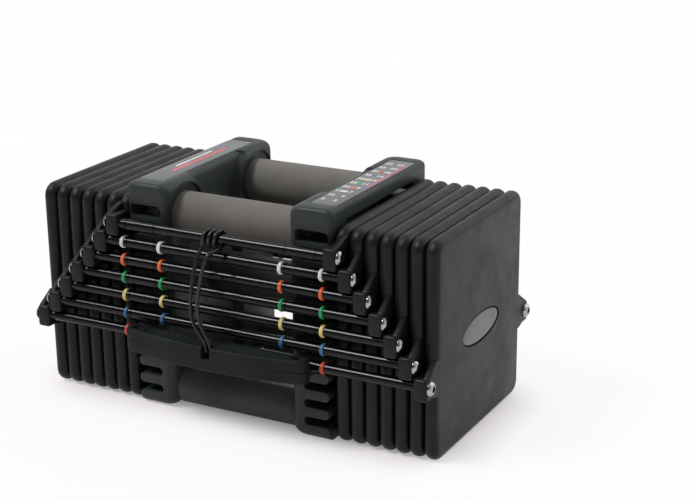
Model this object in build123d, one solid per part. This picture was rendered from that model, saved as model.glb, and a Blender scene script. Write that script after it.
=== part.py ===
"""Selector dumbbell: six nested weight sets on banded rails, a padded core and a slide-in selector pin.

Millimetres. +X runs along the handle, -Y is the side where the pin goes in, +Z is up and the floor is z = 0.
Every piece is drawn about the middle of the plates, and save() moves it so that the origin is under the
middle of the whole object.
"""

import os
from math import cos, floor, pi, radians, sin, sqrt, tan

from build123d import *

# Weight plates
SET_COLOURS = ("white", "orange", "green", "yellow", "blue", "red")
PLATE_HEIGHT = 170.0
PLATE_DEPTH = 156.0
PLATE_THICKNESS = 11.5
PLATE_GAP = 0.6
PLATE_CORNER_RADIUS = 11.0
PLATE_EDGE_BEVEL = 3.0
CORNER_STEPS = 3

# Rails and the ears that hold them
RAIL_DIAMETER = 8.0
RAIL_SIDES = 12
RAIL_PITCH = 14.5
RAIL_STANDOFF = 11.3
TOP_RAIL_DROP = 18.0
NEST_CLEARANCE = 0.75
EAR_FRONT_WALL = 5.7
EAR_TOP_WALL = 7.6
EAR_WEB_RISE = 17.0
EAR_WEB_THICKNESS = 5.0
EAR_UNDERCUT = 2.2
EAR_ROOT = 9.0
EAR_CORNER_CUT = 1.6

# Colour bands
BAND_WIDTH = 3.0
BAND_THICKNESS = 0.9
BAND_CLEARANCE = 0.05
BAND_SIDES = 6
BAND_INSET = 2.2

# Rail screws
SCREW_HEAD_DIAMETER = 11.2
SCREW_HEAD_HEIGHT = 3.0
SCREW_HEAD_SIDES = 8
SCREW_DIAMETER = 5.0
SCREW_SIDES = 6
SCREW_HOLE_CLEARANCE = 0.2
SCREW_THREAD_LENGTH = 8.0

# Core end blocks
HANDLE_LENGTH = 106.0
BLOCK_LENGTH = 36.4
BLOCK_RISE = 13.0
BLOCK_SETBACK = 9.3
BLOCK_CORNER_RADIUS = 7.0
BLOCK_RIM_BEVEL = 4.5
BLOCK_FOOT_RADIUS = 9.0
SPINE_THICKNESS = 11.0
LEG_DEPTH = 24.0
TOOTH_GAP = 3.9
ROOF_THICKNESS = 12.0
SCOOP_DEPTH = 6.5
SCOOP_TAPER = 25.0
SCOOP_SWEEP = 65.0
SCOOP_STEPS = 5
SCOOP_OVERRUN = 10.0
CAP_LIP = 5.0
SLOT_PLAY = 1.1
SLOT_FLOOR_MARGIN = 6.0

# Label panels on the blocks
LABEL_THICKNESS = 0.8
LABEL_LENGTH = 132.0
LABEL_MARGIN = 0.6
LABEL_CORNER_CUT = 2.0
LABEL_OUTER_RIM = 3.0

# Padded tubes and the grip
SLEEVE_SIDES = 28
TUBE_SIDES = 20
UPPER_SLEEVE_DIAMETER = 35.4
UPPER_TUBE_DIAMETER = 28.0
LOWER_BAR_DIAMETER = 28.0
TUBE_WALL = 2.5
COLLAR_TOP_WALL = 10.3
COLLAR_FRONT_WALL = 8.7
LOWER_FRONT_WALL = 4.0
FLOOR_GAP = 1.0
TUBE_SEAT = 3.0
ADDER_CLEARANCE = 0.4
ADDER_SIDES = 12
GRIP_HEIGHT = 92.0
GRIP_DIAMETER = 33.0
GRIP_BAR_DIAMETER = 22.0
GRIP_BAR_SEAT = 3.5

# Oval badges on the outermost plates
BADGE_LENGTH = 68.0
BADGE_WIDTH = 24.0
BADGE_THICKNESS = 1.0
BADGE_SIDES = 20
BADGE_HEIGHT = 82.0

# Selector pin
PRONG_WIDTH = 10.0
PRONG_HEIGHT = 4.6
PRONG_CLEARANCE = 0.4
PRONG_SIDE_PLAY = 2.0
PRONG_OVERRUN = 4.0
PRONG_SEAT = 9.0
PRONG_TIP_RADIUS = 4.0
PIN_REAR_GAP = 0.8
PIN_DEPTH = 11.0
PIN_BOW = 9.0
PIN_HEIGHT = 19.0
PIN_FLOOR = 1.0
PIN_END_MARGIN = 5.5
PIN_EDGE_BEVEL = 1.6
PIN_PANEL_DEPTH = 0.8
PIN_PANEL_WIDTH = 5.0
PIN_PANEL_MARGIN = 9.0
PIN_SCREW_DIAMETER = 5.0
PIN_SCREW_SIDES = 8
PIN_DIMPLE_DEPTH = 1.5
PIN_SCREW_LENGTH = 6.0
NOTCH_WIDTH = 9.0
NOTCH_DEPTH = 9.5

# Elastic tether
CORD_DIAMETER = 3.0
CORD_SIDES = 6
WRAP_QUARTER_TURNS = 11
WRAP_PITCH = 4.9
WRAP_CLEARANCE = 0.4
WRAP_START_X = -11.0
STRAND_LEAD = 6.0
ARC_SHARE = 0.45
# Each point of a strand is its X, its Y and its drop below the core rail.
LEFT_STRAND = (
    (-12.9, -97.6, 15.5),
    (-14.7, -101.2, 25.5),
    (-15.9, -105.0, 37.0),
    (-15.8, -108.2, 49.5),
    (-13.0, -110.0, 60.5),
    (-7.6, -110.4, 69.0),
    (-2.9, -109.8, 75.2),
    (-2.2, -108.9, 85.5),
)
RIGHT_STRAND = (
    (3.2, -103.2, 8.5),
    (2.3, -106.4, 13.0),
    (-0.8, -108.2, 22.0),
    (-4.4, -109.2, 32.0),
    (-7.4, -109.6, 43.5),
    (-7.4, -110.2, 56.5),
    (-3.2, -110.4, 67.5),
    (1.4, -110.0, 76.0),
    (2.2, -108.9, 85.5),
)

# Places that follow from the sizes above
set_count = len(SET_COLOURS)
plate_count = set_count + 1
plate_pitch = PLATE_THICKNESS + PLATE_GAP
collar_x = HANDLE_LENGTH / 2
scoop_x = collar_x + SCOOP_DEPTH
spine_x = collar_x + SPINE_THICKNESS
core_x = collar_x + BLOCK_LENGTH
tooth_x = core_x - TOOTH_GAP
rail_radius = RAIL_DIAMETER / 2
lowest_rail_z = PLATE_HEIGHT - TOP_RAIL_DROP - set_count * RAIL_PITCH
rail_y = PLATE_DEPTH / 2 + RAIL_STANDOFF
ear_bottom = RAIL_PITCH - rail_radius - NEST_CLEARANCE
ear_front_y = rail_y + EAR_FRONT_WALL
band_radius = rail_radius + BAND_CLEARANCE + BAND_THICKNESS
block_y = rail_y - BLOCK_SETBACK
block_top = PLATE_HEIGHT + BLOCK_RISE
prong_z = lowest_rail_z - rail_radius - PRONG_CLEARANCE - PRONG_HEIGHT / 2
prong_x = spine_x + PRONG_SIDE_PLAY + PRONG_WIDTH / 2
slot_height = PRONG_HEIGHT + 2 * SLOT_PLAY
spare_slots = floor((prong_z - slot_height / 2 - SLOT_FLOOR_MARGIN) / RAIL_PITCH)
top_slot_z = prong_z + plate_count * RAIL_PITCH
cap_bottom = top_slot_z - slot_height / 2 - CAP_LIP
upper_tube_z = block_top - COLLAR_TOP_WALL - UPPER_SLEEVE_DIAMETER / 2
upper_tube_y = block_y - COLLAR_FRONT_WALL - UPPER_SLEEVE_DIAMETER / 2
lower_bar_z = FLOOR_GAP + LOWER_BAR_DIAMETER / 2
lower_bar_y = block_y - LOWER_FRONT_WALL - LOWER_BAR_DIAMETER / 2
tube_end = collar_x + TUBE_SEAT
label_inner_x = scoop_x + BLOCK_RIM_BEVEL + LABEL_MARGIN
label_outer_x = core_x - LABEL_OUTER_RIM
pin_rear_y = -(rail_y + band_radius + PIN_REAR_GAP)
pin_end_y = pin_rear_y - PIN_DEPTH
pin_front_y = pin_end_y - PIN_BOW
pin_half_length = prong_x + PRONG_WIDTH / 2 + PIN_END_MARGIN
pin_bottom = prong_z - PRONG_HEIGHT / 2 - PIN_FLOOR
pin_split = pin_bottom + PIN_HEIGHT / 2
pin_top = pin_bottom + PIN_HEIGHT
wrap_radius = rail_radius + WRAP_CLEARANCE + CORD_DIAMETER / 2
frame_shift_y = -(ear_front_y + pin_front_y) / 2


def rail_z(level):
    """Height of a rail's axis. Level 1 is the core, level 2 the first set, and the last set is lowest."""
    return lowest_rail_z + (plate_count - level) * RAIL_PITCH


def plate_inner_x(level):
    return core_x + (level - 1) * plate_pitch


def plate_outer_x(level):
    return plate_inner_x(level) + PLATE_THICKNESS


def along_x(radius, start, end, y, z, sides=None):
    """A bar along X: round, or with flat sides for small pieces that repeat many times."""
    section = RegularPolygon(radius, sides) if sides else Circle(radius)
    return Pos(start, y, z) * extrude(Plane.YZ * section, end - start)


def front_and_back(shape):
    return [shape, mirror(shape, about=Plane.XZ)]


def right_and_left(shape):
    return [shape, mirror(shape, about=Plane.YZ)]


def save(node, *shapes):
    """Writes one named node, moved to the frame of the whole object."""
    moved = [solid.moved(Location((0, frame_shift_y, 0))) for shape in shapes for solid in shape.solids()]
    whole = moved[0] if len(moved) == 1 else Compound(children=moved)
    whole.label = node
    export_step(whole, f"parts/{node}.step")


def ear(level):
    """The lobe on a plate's rear edge that carries the rail end: a block, with a sloped web outside."""
    edge = PLATE_DEPTH / 2
    root = edge - EAR_ROOT
    z = rail_z(level)
    top = z + EAR_TOP_WALL
    web_top = min(z + EAR_WEB_RISE, PLATE_HEIGHT - PLATE_EDGE_BEVEL)
    web_front = ear_front_y - EAR_CORNER_CUT
    root_bottom = z - ear_bottom - EAR_UNDERCUT
    outline = Polyline(
        (root, root_bottom),
        (edge, root_bottom),
        (rail_y - rail_radius, z - ear_bottom),
        (ear_front_y, z - ear_bottom),
        (ear_front_y, top),
        (root, top),
        close=True,
    )
    profile = make_face(outline)
    profile = chamfer(profile.vertices().group_by(Axis.X)[-1], EAR_CORNER_CUT)
    block = extrude(Plane.YZ * profile, PLATE_THICKNESS)
    slope = Polyline(
        (root, z),
        (web_front, z),
        (web_front, top),
        (edge, web_top),
        (root, web_top),
        close=True,
    )
    web = extrude(Plane.YZ * make_face(slope), EAR_WEB_THICKNESS)
    return block + Pos(PLATE_THICKNESS - EAR_WEB_THICKNESS, 0, 0) * web


def stepped_corners(width, height, radius):
    """A rectangle whose round corners are drawn in a few straight steps."""
    turns = [pi / 2 * step / CORNER_STEPS for step in range(CORNER_STEPS + 1)]
    points = []
    for quarter, (side_x, side_y) in enumerate(((1, 1), (-1, 1), (-1, -1), (1, -1))):
        centre_x = side_x * (width / 2 - radius)
        centre_y = side_y * (height / 2 - radius)
        angles = [turn + quarter * pi / 2 for turn in turns]
        points += [(centre_x + radius * cos(a), centre_y + radius * sin(a)) for a in angles]
    return make_face(Polyline(*points, close=True))


def plate(level):
    """The right-hand plate of a level: a bevelled slab with an ear in front and one behind."""
    outline = Pos(0, PLATE_HEIGHT / 2) * stepped_corners(PLATE_DEPTH, PLATE_HEIGHT, PLATE_CORNER_RADIUS)
    slab = extrude(Plane.YZ * outline, PLATE_THICKNESS)
    slab = chamfer(slab.faces().filter_by(Axis.X).edges(), PLATE_EDGE_BEVEL)
    rear_ear = ear(level)
    hole_radius = SCREW_DIAMETER / 2 + SCREW_HOLE_CLEARANCE
    hole = along_x(hole_radius, 0, PLATE_THICKNESS, rail_y, rail_z(level), SCREW_SIDES)
    body = slab + front_and_back(rear_ear) - front_and_back(hole)
    if level == plate_count:
        body -= Pos(PLATE_THICKNESS - BADGE_THICKNESS, 0, 0) * badge_blank()
    return Pos(plate_inner_x(level), 0, 0) * body


def badge_blank():
    turns = [2 * pi * side / BADGE_SIDES for side in range(BADGE_SIDES)]
    rim = [(BADGE_LENGTH / 2 * cos(turn), BADGE_HEIGHT + BADGE_WIDTH / 2 * sin(turn)) for turn in turns]
    return extrude(Plane.YZ * make_face(Polyline(*rim, close=True)), BADGE_THICKNESS)


def rail(level):
    """The rear rail of a level, from ear to ear."""
    end = plate_inner_x(level)
    return along_x(rail_radius, -end, end, rail_y, rail_z(level), RAIL_SIDES)


def bands(level):
    """The four colour rings of a rear rail: a pair either side of each block's comb."""
    inner_flat = rail_radius + BAND_CLEARANCE
    corner = cos(pi / BAND_SIDES)
    hoop = RegularPolygon(inner_flat / corner + BAND_THICKNESS, BAND_SIDES)
    hoop -= RegularPolygon(inner_flat / corner, BAND_SIDES)
    ring = extrude(Plane.YZ * hoop, BAND_WIDTH / 2, both=True)
    places = (collar_x, core_x - BAND_INSET)
    rings = [Pos(x, rail_y, rail_z(level)) * ring for x in places]
    return [side for one in rings for side in right_and_left(one)]


def rail_screw(level):
    """The screw through a rear ear on the right, into the rail's end."""
    face = plate_outer_x(level)
    axis = (rail_y, rail_z(level))
    head = along_x(SCREW_HEAD_DIAMETER / 2, face, face + SCREW_HEAD_HEIGHT, *axis, SCREW_HEAD_SIDES)
    shank_end = plate_inner_x(level) - SCREW_THREAD_LENGTH
    return head + along_x(SCREW_DIAMETER / 2, shank_end, face, *axis, SCREW_SIDES)


def block_plan(outer_x):
    """Plan of an end block out to outer_x, with round corners on its inner side."""
    half = []
    for step in range(CORNER_STEPS + 1):
        turn = pi / 2 * step / CORNER_STEPS
        x = collar_x + BLOCK_CORNER_RADIUS * (1 - cos(turn))
        half.append((x, block_y - BLOCK_CORNER_RADIUS * (1 - sin(turn))))
    half.append((outer_x, block_y))
    return make_face(Polyline(*half, *[(x, -y) for x, y in reversed(half)], close=True))


def scoop():
    """What is cut from the block's inner side for the hand, between round collars over the upper tubes."""
    collar_radius = UPPER_SLEEVE_DIAMETER / 2 + COLLAR_TOP_WALL
    turns = [radians(SCOOP_SWEEP) * step / SCOOP_STEPS for step in range(SCOOP_STEPS + 1)]
    half = [(upper_tube_y - collar_radius, -SCOOP_OVERRUN)]
    half += [(upper_tube_y - collar_radius * cos(t), upper_tube_z + collar_radius * sin(t)) for t in turns]
    half.append((half[-1][0], block_top + SCOOP_OVERRUN))
    outline = make_face(Polyline(*half, *[(-y, z) for y, z in reversed(half)], close=True))
    hollow = extrude(Plane.YZ * outline, SCOOP_DEPTH, taper=SCOOP_TAPER)
    rim = Polyline((0, 0), (BLOCK_RIM_BEVEL, 0), (0, -BLOCK_RIM_BEVEL), close=True)
    bevel = Pos(scoop_x, 0, block_top) * extrude(Plane.XZ * make_face(rim), half[-1][0], both=True)
    return Pos(collar_x, 0, 0) * hollow + bevel


def comb_slot(z, end_x):
    """A slot for a prong, right through the block from front to back."""
    shape = Pos((spine_x + end_x) / 2, z) * Rectangle(end_x - spine_x, slot_height)
    return extrude(Plane.XZ * shape, block_y + BLOCK_SETBACK, both=True)


def end_block():
    """The right end block: a scooped wall, a roof with a label pocket, and toothed legs for the pin."""
    wall = extrude(block_plan(spine_x), cap_bottom)
    cap = Pos(0, 0, cap_bottom) * extrude(block_plan(core_x), block_top - cap_bottom)
    rim = cap.edges().filter_by(lambda e: e.center().Z > block_top - 0.01 and e.center().X < core_x - 0.01)
    cap = chamfer(rim, BLOCK_RIM_BEVEL)
    leg_box = Box(tooth_x - spine_x, LEG_DEPTH, cap_bottom, align=(Align.MIN, Align.MAX, Align.MIN))
    leg = Pos(spine_x, block_y, 0) * leg_box
    cavity_box = Box(core_x - spine_x, 2 * (block_y - LEG_DEPTH), block_top - ROOF_THICKNESS - cap_bottom)
    cavity = Pos((spine_x + core_x) / 2, 0, (cap_bottom + block_top - ROOF_THICKNESS) / 2) * cavity_box
    body = wall + cap + front_and_back(leg) - cavity - scoop()
    for step in range(-spare_slots, plate_count):
        body -= comb_slot(prong_z + step * RAIL_PITCH, core_x)
    body -= comb_slot(top_slot_z, tooth_x)
    body -= foot_rounding()
    for y in (-upper_tube_y, upper_tube_y):
        body -= along_x(UPPER_SLEEVE_DIAMETER / 2, collar_x, tube_end, y, upper_tube_z, SLEEVE_SIDES)
    for y in (-lower_bar_y, lower_bar_y):
        body -= along_x(LOWER_BAR_DIAMETER / 2, collar_x, tube_end, y, lower_bar_z, SLEEVE_SIDES)
    grip_end = scoop_x + GRIP_BAR_SEAT
    body -= along_x(GRIP_BAR_DIAMETER / 2, scoop_x, grip_end, 0, GRIP_HEIGHT, TUBE_SIDES)
    return body - label_blank()


def foot_rounding():
    """What is cut off the block's inner bottom edge to round it."""
    radius = BLOCK_FOOT_RADIUS
    turns = [pi / 2 * step / CORNER_STEPS for step in range(CORNER_STEPS + 1)]
    curve = [(collar_x + radius * (1 - cos(turn)), radius * (1 - sin(turn))) for turn in turns]
    corner = make_face(Polyline((collar_x, 0), *curve, close=True))
    return extrude(Plane.XZ * corner, block_y, both=True)


def tube(diameter, end, y, z):
    """A tube along X, as long on the left as on the right."""
    bore = diameter / 2 - TUBE_WALL
    return along_x(diameter / 2, -end, end, y, z, TUBE_SIDES) - along_x(bore, -end, end, y, z, TUBE_SIDES)


def sleeve(diameter, core_diameter, end, y, z):
    """Padding along X round a tube or bar."""
    padding = along_x(diameter / 2, -end, end, y, z, SLEEVE_SIDES)
    return padding - along_x(core_diameter / 2, -end, end, y, z, TUBE_SIDES)


def label_blank():
    width = label_outer_x - label_inner_x
    shape = Pos((label_inner_x + label_outer_x) / 2, 0) * Rectangle(width, LABEL_LENGTH)
    shape = chamfer(shape.vertices(), LABEL_CORNER_CUT)
    return Pos(0, 0, block_top - LABEL_THICKNESS) * extrude(shape, LABEL_THICKNESS)


def pin_plan():
    """Plan of the pin's handle: flat behind, bowed in front."""
    ends = Polyline(
        (-pin_half_length, pin_end_y),
        (-pin_half_length, pin_rear_y),
        (pin_half_length, pin_rear_y),
        (pin_half_length, pin_end_y),
    )
    bow = ThreePointArc((pin_half_length, pin_end_y), (0, pin_front_y), (-pin_half_length, pin_end_y))
    return make_face((Curve() + [ends, bow]).edges())


def prong():
    """The right prong, a flat bar with a rounded tip that reaches past the rear rail."""
    rear_end = rail_y + PRONG_OVERRUN
    front_end = pin_rear_y - PRONG_SEAT
    plan = Pos(prong_x, (front_end + rear_end) / 2) * Rectangle(PRONG_WIDTH, rear_end - front_end)
    plan = fillet(plan.vertices().group_by(Axis.Y)[-1], PRONG_TIP_RADIUS)
    return Pos(0, 0, prong_z - PRONG_HEIGHT / 2) * extrude(plan, PRONG_HEIGHT)


def pin_screw():
    """The right handle screw, down through the upper shell into the lower one."""
    top = pin_top - PIN_DIMPLE_DEPTH
    y = pin_rear_y - PIN_DEPTH / 2
    section = RegularPolygon(PIN_SCREW_DIAMETER / 2, PIN_SCREW_SIDES)
    return Pos(prong_x, y, top - PIN_SCREW_LENGTH) * extrude(section, PIN_SCREW_LENGTH)


def pin_shells():
    """The upper and lower halves of the pin's handle."""
    lower = Pos(0, 0, pin_bottom) * extrude(pin_plan(), pin_split - pin_bottom)
    lower = chamfer(lower.faces().sort_by(Axis.Z)[0].edges(), PIN_EDGE_BEVEL)
    lower -= right_and_left(prong())
    upper = Pos(0, 0, pin_split) * extrude(pin_plan(), pin_top - pin_split)
    upper = chamfer(upper.faces().sort_by(Axis.Z)[-1].edges(), PIN_EDGE_BEVEL)
    panel_length = 2 * (prong_x - PIN_PANEL_MARGIN)
    panel = Pos(0, pin_rear_y - PIN_DEPTH / 2) * Rectangle(panel_length, PIN_PANEL_WIDTH)
    upper -= Pos(0, 0, pin_top - PIN_PANEL_DEPTH) * extrude(panel, PIN_PANEL_DEPTH)
    dimple_y = pin_rear_y - PIN_DEPTH / 2
    well_depth = PIN_DIMPLE_DEPTH + PIN_SCREW_LENGTH
    section = RegularPolygon(PIN_SCREW_DIAMETER / 2, PIN_SCREW_SIDES)
    well = Pos(prong_x, dimple_y, pin_top - well_depth) * extrude(section, well_depth)
    upper -= right_and_left(well)
    notch_box = Box(NOTCH_WIDTH, NOTCH_DEPTH, pin_top - pin_split, align=(Align.CENTER, Align.MIN, Align.MIN))
    upper -= Pos(0, pin_front_y, pin_split) * notch_box
    return upper, lower


def wrap_point(turn):
    """A point of the winding round the front core rail. Turn 0 is in front of the rail, rising."""
    x = WRAP_START_X + WRAP_PITCH * turn / (2 * pi)
    return Vector(x, -rail_y - wrap_radius * cos(turn), rail_z(1) + wrap_radius * sin(turn))


def wrap_direction(turn):
    return Vector(WRAP_PITCH / (2 * pi), wrap_radius * sin(turn), wrap_radius * cos(turn)).normalized()


def biarc(start, leave, end, arrive):
    """Two arcs that join two points and keep the direction at both."""
    chord = end - start
    along = chord.dot(leave + arrive)
    bend = 1 - leave.dot(arrive)
    reach = (sqrt(along**2 + 2 * bend * chord.dot(chord)) - along) / (2 * bend)
    first = start + leave * reach
    second = end - arrive * reach
    middle = (first + second) / 2
    return [Edge.make_tangent_arc(start, leave, middle), Edge.make_tangent_arc(middle, second - first, end)]


def cord_along(path):
    """The cord swept along a path, faceted as thin cord is drawn."""
    start = Plane(origin=path @ 0, z_dir=path % 0)
    section = start * RegularPolygon(CORD_DIAMETER / 2, CORD_SIDES)
    cord = sweep(section, path=path, clean=False)
    share = cord.volume / (section.area * path.length)
    print("cord length", round(path.length, 1), "volume share", round(share, 3))
    return cord


def wrap_leads():
    """The winding's straight ends, in front of the rail and under it: where each leaves, and which way."""
    last = WRAP_QUARTER_TURNS * pi / 2
    return (wrap_point(0), wrap_direction(0) * -1), (wrap_point(last), wrap_direction(last))


def tether_wraps():
    turns = [quarter * pi / 2 for quarter in range(WRAP_QUARTER_TURNS + 1)]
    arcs = []
    for one, two in zip(turns, turns[1:]):
        arcs += biarc(wrap_point(one), wrap_direction(one), wrap_point(two), wrap_direction(two))
    (first, down), (last, forward) = wrap_leads()
    lead_in = Edge.make_line(first + down * CORD_DIAMETER, first)
    lead_out = Edge.make_line(last, last + forward * CORD_DIAMETER)
    return cord_along(Wire([lead_in, *arcs, lead_out]))


def tether_strand(lead, route):
    """A free strand, from the winding down to the notch in the pin, with arcs as large as its runs allow."""
    leaves, direction = lead
    start = leaves + direction * CORD_DIAMETER
    free = [Vector(x, y, rail_z(1) - drop) for x, y, drop in route]
    points = [start, start + direction * STRAND_LEAD, *free]
    radii = []
    for before, here, after in zip(points, points[1:], points[2:]):
        half_turn = radians((here - before).get_angle(after - here)) / 2
        shorter = min((here - before).length, (after - here).length)
        radii.append(ARC_SHARE * shorter / tan(half_turn))
    print("strand radii", [round(radius, 1) for radius in radii])
    return cord_along(FilletPolyline(*points, radius=radii))


def print_wrap_gap():
    """Measures the least gap between neighbouring turns of the winding, on points."""
    steps = [quarter * pi / 2 + part * pi / 12 for quarter in range(WRAP_QUARTER_TURNS) for part in range(6)]
    gaps = [
        (wrap_point(one) - wrap_point(two)).length - CORD_DIAMETER
        for one in steps
        for two in steps
        if two - one > pi
    ]
    print("least gap between turns", round(min(gaps), 2))


def main():
    os.makedirs("parts", exist_ok=True)
    screws = []
    for level in range(1, plate_count + 1):
        name = "core" if level == 1 else f"{SET_COLOURS[level - 2]}_set"
        right_plate, left_plate = right_and_left(plate(level))
        save(f"{name}_right_plate", right_plate)
        save(f"{name}_left_plate", left_plate)
        rear_rail, front_rail = front_and_back(rail(level))
        save(f"{name}_front_rail", front_rail)
        save(f"{name}_rear_rail", rear_rail)
        if level > 1:
            rings = bands(level)
            save(f"{name}_bands", *[ring for one in rings for ring in front_and_back(one)])
        screws += [end for screw in front_and_back(rail_screw(level)) for end in right_and_left(screw)]
    save("rail_screws", *screws)

    right_badge = Pos(plate_outer_x(plate_count) - BADGE_THICKNESS, 0, 0) * badge_blank()
    save("oval_badges", *right_and_left(right_badge))

    right_block, left_block = right_and_left(end_block())
    save("right_end_block", right_block)
    save("left_end_block", left_block)
    chart, label = right_and_left(label_blank())
    save("weight_chart_panel", chart)
    save("label_panel", label)

    for place, side in (("front", -1), ("rear", 1)):
        upper = (side * upper_tube_y, upper_tube_z)
        save(f"upper_{place}_tube", tube(UPPER_TUBE_DIAMETER, tube_end, *upper))
        padding = sleeve(UPPER_SLEEVE_DIAMETER, UPPER_TUBE_DIAMETER, tube_end, *upper)
        save(f"upper_{place}_sleeve", padding)
        slug_radius = UPPER_TUBE_DIAMETER / 2 - TUBE_WALL - ADDER_CLEARANCE
        save(f"{place}_adder_weight", along_x(slug_radius, -tube_end, tube_end, *upper, ADDER_SIDES))
        lower = (side * lower_bar_y, lower_bar_z)
        lower_bar = along_x(LOWER_BAR_DIAMETER / 2, -tube_end, tube_end, *lower, SLEEVE_SIDES)
        save(f"lower_{place}_bar", lower_bar)
    bar_end = scoop_x + GRIP_BAR_SEAT
    save("grip_bar", along_x(GRIP_BAR_DIAMETER / 2, -bar_end, bar_end, 0, GRIP_HEIGHT, TUBE_SIDES))
    save("grip_sleeve", sleeve(GRIP_DIAMETER, GRIP_BAR_DIAMETER, scoop_x, 0, GRIP_HEIGHT))

    upper_shell, lower_shell = pin_shells()
    save("pin_upper_shell", upper_shell)
    save("pin_lower_shell", lower_shell)
    right_prong, left_prong = right_and_left(prong())
    save("right_prong", right_prong)
    save("left_prong", left_prong)
    save("pin_screws", *right_and_left(pin_screw()))

    save("tether_wraps", tether_wraps())
    left_lead, right_lead = wrap_leads()
    save("tether_strands", tether_strand(left_lead, LEFT_STRAND), tether_strand(right_lead, RIGHT_STRAND))
    print_wrap_gap()


main()
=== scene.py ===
"""Looks of the selector dumbbell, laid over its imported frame. Metres, in the frame's own axes."""

from math import cos, pi, radians, sin, sqrt, tan

import bmesh
import bpy
from mathutils import Matrix, Vector


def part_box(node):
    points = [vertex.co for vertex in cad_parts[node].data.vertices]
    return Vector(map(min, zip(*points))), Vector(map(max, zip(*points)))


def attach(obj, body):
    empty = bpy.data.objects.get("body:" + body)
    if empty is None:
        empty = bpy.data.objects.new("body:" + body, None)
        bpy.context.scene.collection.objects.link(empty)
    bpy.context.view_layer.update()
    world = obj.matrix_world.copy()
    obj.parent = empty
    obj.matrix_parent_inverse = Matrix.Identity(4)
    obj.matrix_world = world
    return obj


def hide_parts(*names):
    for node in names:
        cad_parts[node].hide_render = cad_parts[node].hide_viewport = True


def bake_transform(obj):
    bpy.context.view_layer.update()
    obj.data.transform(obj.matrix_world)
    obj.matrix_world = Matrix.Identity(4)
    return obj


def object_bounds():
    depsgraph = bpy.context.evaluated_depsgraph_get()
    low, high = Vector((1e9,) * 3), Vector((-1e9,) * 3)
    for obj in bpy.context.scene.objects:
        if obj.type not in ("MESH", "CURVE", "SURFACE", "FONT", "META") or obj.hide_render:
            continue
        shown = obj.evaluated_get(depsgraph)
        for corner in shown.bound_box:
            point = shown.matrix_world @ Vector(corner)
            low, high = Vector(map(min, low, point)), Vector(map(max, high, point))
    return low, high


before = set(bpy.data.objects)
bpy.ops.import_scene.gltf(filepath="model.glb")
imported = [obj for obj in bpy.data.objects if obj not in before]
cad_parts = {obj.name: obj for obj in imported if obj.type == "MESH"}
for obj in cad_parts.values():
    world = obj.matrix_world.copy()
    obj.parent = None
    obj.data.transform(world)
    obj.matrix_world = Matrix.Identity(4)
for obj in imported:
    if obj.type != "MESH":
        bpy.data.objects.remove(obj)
cad_low, cad_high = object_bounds()

MM = 0.001
OVERRUN = 5 * MM
COLOURS = ("white", "orange", "green", "yellow", "blue", "red")
GROUPS = ("core", *(f"{colour}_set" for colour in COLOURS))
SIDES = {"right": 1, "left": -1}
PLACES = {"front": -1, "rear": 1}

# Plates and ears
PLATE_DEPTH = 156 * MM
PLATE_CORNER = 11 * MM
PLATE_EDGE = 5.2 * MM
EDGE_STEPS = 5
EAR_ROOT = 9 * MM
EAR_TOP_WALL = 7.6 * MM
EAR_WEB_RISE = 17 * MM
EAR_WEB_THICKNESS = 5 * MM
EAR_BOTTOM = 9.75 * MM
EAR_UNDERCUT = 2.2 * MM
EAR_HEEL = 9.7 * MM
EAR_EDGE = 2.4 * MM
EAR_WEB_EDGE = 1.4 * MM
EAR_INSET = 0.15 * MM

# Rails, bands and screws
RAIL_SIDES = 40
BAND_WIDTH = 3.0 * MM
BAND_BORE = 4.05 * MM
BAND_RISE = 0.95 * MM
BAND_SHOULDER = 0.35
BAND_STEPS = 8
OUTER_BAND_INSET = 2.2 * MM
SPACER_RISE = 0.35 * MM
SPACER_GAP = 1.2 * MM
GROOVE_INSET = 1.4 * MM
GROOVE_WIDTH = 0.8 * MM
GROOVE_DEPTH = 0.5 * MM
GROOVE_FLANK = 0.1 * MM
SCREW_SIDES = 36
# Height above the plate and radius, in mm
SCREW_CROWN = ((0, 5.6), (0.5, 5.6), (1.0, 5.4), (1.7, 4.9), (2.3, 4.15), (2.7, 3.4), (2.85, 2.9))
HEAD_HEIGHT = SCREW_CROWN[-1][0] * MM
SOCKET_DEPTH = 1.7 * MM
SOCKET_APOTHEM = 2.35 * MM
SOCKET_RIM = 0.4 * MM
SOCKET_CONE = 0.3 * MM
SOCKET_CONE_SHARE = 0.15
# Size of the sheet of painted shade inside each hex socket, as a share of the socket
SOCKET_SHADE_SHARE = 0.98

# End blocks
BLOCK_DEPTH = 160 * MM
BLOCK_INNER_CORNER = 7 * MM
BLOCK_OUTER_CORNER = 4 * MM
BLOCK_INNER_RIM = 8 * MM
BLOCK_SIDE_RIM = 4 * MM
BLOCK_OUTER_RIM = 5 * MM
BLOCK_FOOT = 9 * MM
BLOCK_FOOT_SIDE = 8 * MM
BLOCK_EDGE = 0.6 * MM
BLOCK_CORNER_STEPS = 6
BLOCK_FOOT_STEPS = 6
BLOCK_RIM_STEPS = 8
SPINE = 11 * MM
LEG_DEPTH = 24 * MM
TOOTH_GAP = 3.9 * MM
TOOTH_ROUND = 3.2 * MM
TOOTH_STEPS = 6
ROOF = 12 * MM
COLLAR_WALL = 10.3 * MM
COLLAR_LIP = 3.4 * MM
COLLAR_RECESS = 1.8 * MM
SCOOP_DEPTH = 6.5 * MM
SCOOP_RIM = 4.8 * MM
SCOOP_TAPER = radians(25)
SCOOP_SWEEP = radians(65)
SCOOP_STEPS = 16
CAP_BOTTOM = 151.4 * MM
SLOT_HEIGHT = 6.8 * MM
SLOT_PITCH = 14.5 * MM
LOWEST_SLOT = 14.8 * MM
OPEN_SLOTS = 10
SLOT_STEPS = 10
TOP_SLOT_CORNER = 0.9
MOUTH_INNER = 6 * MM
MOUTH_OUTER = 2.6 * MM
MOUTH_RISE = 6.2 * MM
MOUTH_CORNER = 3.4 * MM
MOUTH_DEPTH = 12 * MM

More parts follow.
